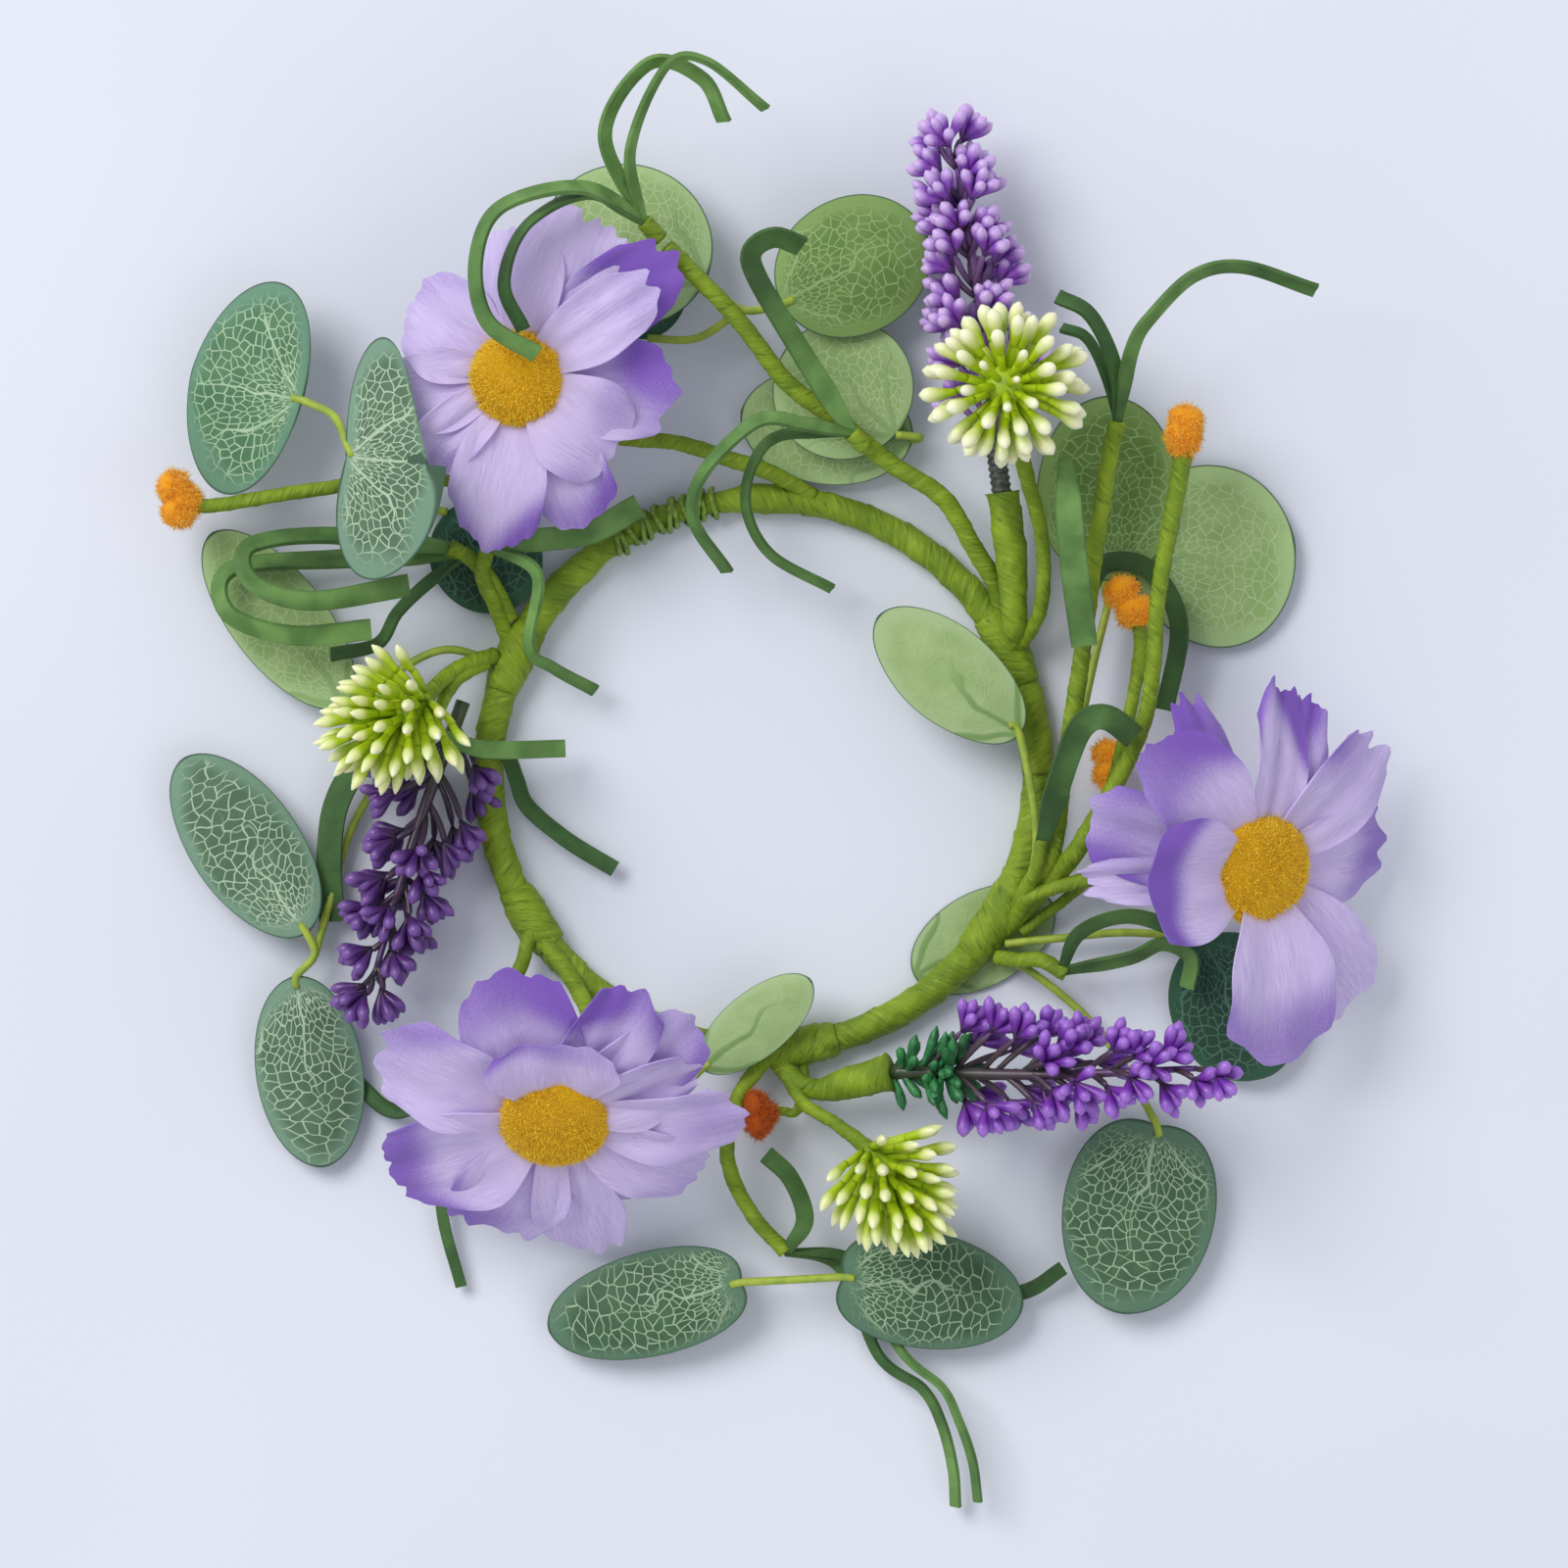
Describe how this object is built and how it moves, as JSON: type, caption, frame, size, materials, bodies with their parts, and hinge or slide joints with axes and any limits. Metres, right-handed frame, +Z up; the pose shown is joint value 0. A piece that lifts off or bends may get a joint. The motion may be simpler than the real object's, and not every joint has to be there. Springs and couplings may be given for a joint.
{
  "type": "flower crown",
  "caption": "Small round wreath: a taped wire hoop carrying fabric daisies, lavender sprigs, bud balls, eucalyptus leaves and curling grass.",
  "frame": {"origin": "centre of the crown's overall outline seen from above, at table level; the hoop's own centre is at X -3.7 mm, Y +2.4 mm", "axes": "+Z up from the table, out of the flat side the hoop rests on; +Y to the top of the crown, where the lavender spike points; +X to the right, seen from above"},
  "size_m": [0.2256, 0.2627, 0.0499],
  "materials": {
    "steel_wire": "dull drawn steel wire",
    "floral_tape": "yellow-green crepe paper tape, wound in a spiral, waxy and wrinkled",
    "dark_wire": "thin paper-covered binding wire, dark green",
    "lilac_fabric": "lilac polyester, printed darker violet towards the petal tips",
    "gold_flock": "golden flocking on a domed centre",
    "purple_plastic": "soft moulded purple plastic with paler floret tips",
    "cream_plastic": "moulded cream buds on yellow-green stalks, semi-gloss",
    "orange_flock": "orange flocked buds on taped wire",
    "leaf_fabric": "sage green stiffened fabric with a pale printed vein net",
    "grass_foam": "green foam sheet cut in flat strips, matte"
  },
  "bodies": {
    "ring": {"ring_core_wire": "steel_wire", "ring_tape_wrap": "floral_tape", "lap_binding_wire": "dark_wire", "binding_right_upper": "floral_tape", "binding_right_lower": "floral_tape", "binding_bottom": "floral_tape", "binding_left": "floral_tape", "binding_lower_left": "floral_tape", "top_spray_stem": "floral_tape", "orange_bud_left": "orange_flock", "orange_bud_upper_right": "orange_flock", "orange_bud_right": "orange_flock", "orange_bud_inner": "orange_flock", "orange_bud_bottom": "orange_flock", "leaf_pair_upper_left": "leaf_fabric", "leaf_trio_top": "leaf_fabric", "leaf_pair_inner_top": "leaf_fabric", "leaf_pair_right_top": "leaf_fabric", "leaf_inner_right": "leaf_fabric", "leaf_behind_right_daisy": "leaf_fabric", "leaf_pair_bottom": "leaf_fabric", "leaf_bottom_right": "leaf_fabric", "leaf_bottom_inner": "leaf_fabric", "leaf_pair_left": "leaf_fabric", "leaf_left": "leaf_fabric", "leaf_behind_lap": "leaf_fabric", "grass_top": "grass_foam", "grass_inner_top": "grass_foam", "grass_right_top": "grass_foam", "grass_right_drop": "grass_foam", "grass_right_arch": "grass_foam", "grass_lower_right": "grass_foam", "grass_bottom": "grass_foam", "grass_left": "grass_foam", "grass_behind_daisy": "grass_foam", "grass_left_low": "grass_foam", "grass_lower_left": "grass_foam"},
    "daisy_upper_left_stem": {"daisy_upper_left_stem": "floral_tape"},
    "daisy_upper_left_head": {"daisy_upper_left_petals_back": "lilac_fabric", "daisy_upper_left_petals_front": "lilac_fabric", "daisy_upper_left_disc": "gold_flock"},
    "daisy_right_stem": {"daisy_right_stem": "floral_tape"},
    "daisy_right_head": {"daisy_right_petals_back": "lilac_fabric", "daisy_right_petals_front": "lilac_fabric", "daisy_right_disc": "gold_flock"},
    "daisy_lower_left_stem": {"daisy_lower_left_stem": "floral_tape"},
    "daisy_lower_left_head": {"daisy_lower_left_petals_back": "lilac_fabric", "daisy_lower_left_petals_front": "lilac_fabric", "daisy_lower_left_disc": "gold_flock"},
    "lavender_top": {"lavender_top_stem": "floral_tape", "lavender_top_spike": "purple_plastic"},
    "lavender_right": {"lavender_right_stem": "floral_tape", "lavender_right_spike": "purple_plastic"},
    "lavender_left": {"lavender_left_spike": "purple_plastic"},
    "bud_ball_top": {"bud_ball_top_stem": "floral_tape", "bud_ball_top_head": "cream_plastic"},
    "bud_ball_left": {"bud_ball_left_stem": "floral_tape", "bud_ball_left_head": "cream_plastic"},
    "bud_ball_bottom": {"bud_ball_bottom_stem": "floral_tape", "bud_ball_bottom_head": "cream_plastic"}
  },
  "joints": [
    {"name": "daisy_upper_left_bend", "type": "hinge", "parent": "ring", "child": "daisy_upper_left_stem", "pos_m": [-0.0097, 0.0594, 0.009], "axis": [0, 0, 1], "range_deg": [-4, 6], "stiffness_Nm_per_rad": 0.02},
    {"name": "daisy_upper_left_turn", "type": "hinge", "parent": "daisy_upper_left_stem", "child": "daisy_upper_left_head", "pos_m": [-0.0477, 0.0739, 0.024], "axis": [-0.0988, -0.1186, 0.988], "range_deg": [-30, 30], "stiffness_Nm_per_rad": 0.002},
    {"name": "daisy_right_bend", "type": "hinge", "parent": "ring", "child": "daisy_right_stem", "pos_m": [0.0453, -0.0196, 0.009], "axis": [0, 0, 1], "range_deg": [0, 8], "stiffness_Nm_per_rad": 0.02},
    {"name": "daisy_right_turn", "type": "hinge", "parent": "daisy_right_stem", "child": "daisy_right_head", "pos_m": [0.0843, -0.0146, 0.0245], "axis": [0.5618, -0.2006, 0.8026], "range_deg": [-30, 30], "stiffness_Nm_per_rad": 0.002},
    {"name": "daisy_lower_left_bend", "type": "hinge", "parent": "ring", "child": "daisy_lower_left_stem", "pos_m": [-0.0347, -0.0436, 0.009], "axis": [-1, 0, 0], "range_deg": [-2, 20], "stiffness_Nm_per_rad": 0.02},
    {"name": "daisy_lower_left_turn", "type": "hinge", "parent": "daisy_lower_left_stem", "child": "daisy_lower_left_head", "pos_m": [-0.0412, -0.0581, 0.028], "axis": [0, -0.6247, 0.7809], "range_deg": [-30, 30], "stiffness_Nm_per_rad": 0.002},
    {"name": "lavender_top_lift", "type": "hinge", "parent": "ring", "child": "lavender_top", "pos_m": [0.0418, 0.0309, 0.009], "axis": [0.9925, 0.122, 0], "range_deg": [-2, 5], "stiffness_Nm_per_rad": 0.02},
    {"name": "lavender_right_lift", "type": "hinge", "parent": "ring", "child": "lavender_right", "pos_m": [0.0058, -0.0551, 0.007], "axis": [0.0591, -0.9983, 0], "range_deg": [0, 8], "stiffness_Nm_per_rad": 0.02},
    {"name": "lavender_left_lift", "type": "hinge", "parent": "ring", "child": "lavender_left", "pos_m": [-0.0582, 0.0154, 0.009], "axis": [-0.9504, 0.3112, 0], "range_deg": [-1, 6], "stiffness_Nm_per_rad": 0.02},
    {"name": "bud_ball_top_lift", "type": "hinge", "parent": "ring", "child": "bud_ball_top", "pos_m": [0.0468, 0.0334, 0.0125], "axis": [0.9843, 0.1764, 0], "range_deg": [0, 25], "stiffness_Nm_per_rad": 0.01},
    {"name": "bud_ball_left_lift", "type": "hinge", "parent": "ring", "child": "bud_ball_left", "pos_m": [-0.0607, 0.0204, 0.0125], "axis": [-0.7295, 0.6839, 0], "range_deg": [0, 25], "stiffness_Nm_per_rad": 0.01},
    {"name": "bud_ball_bottom_lift", "type": "hinge", "parent": "ring", "child": "bud_ball_bottom", "pos_m": [0.0043, -0.0581, 0.009], "axis": [-0.5952, -0.8036, 0], "range_deg": [0, 10], "stiffness_Nm_per_rad": 0.01}
  ]
}
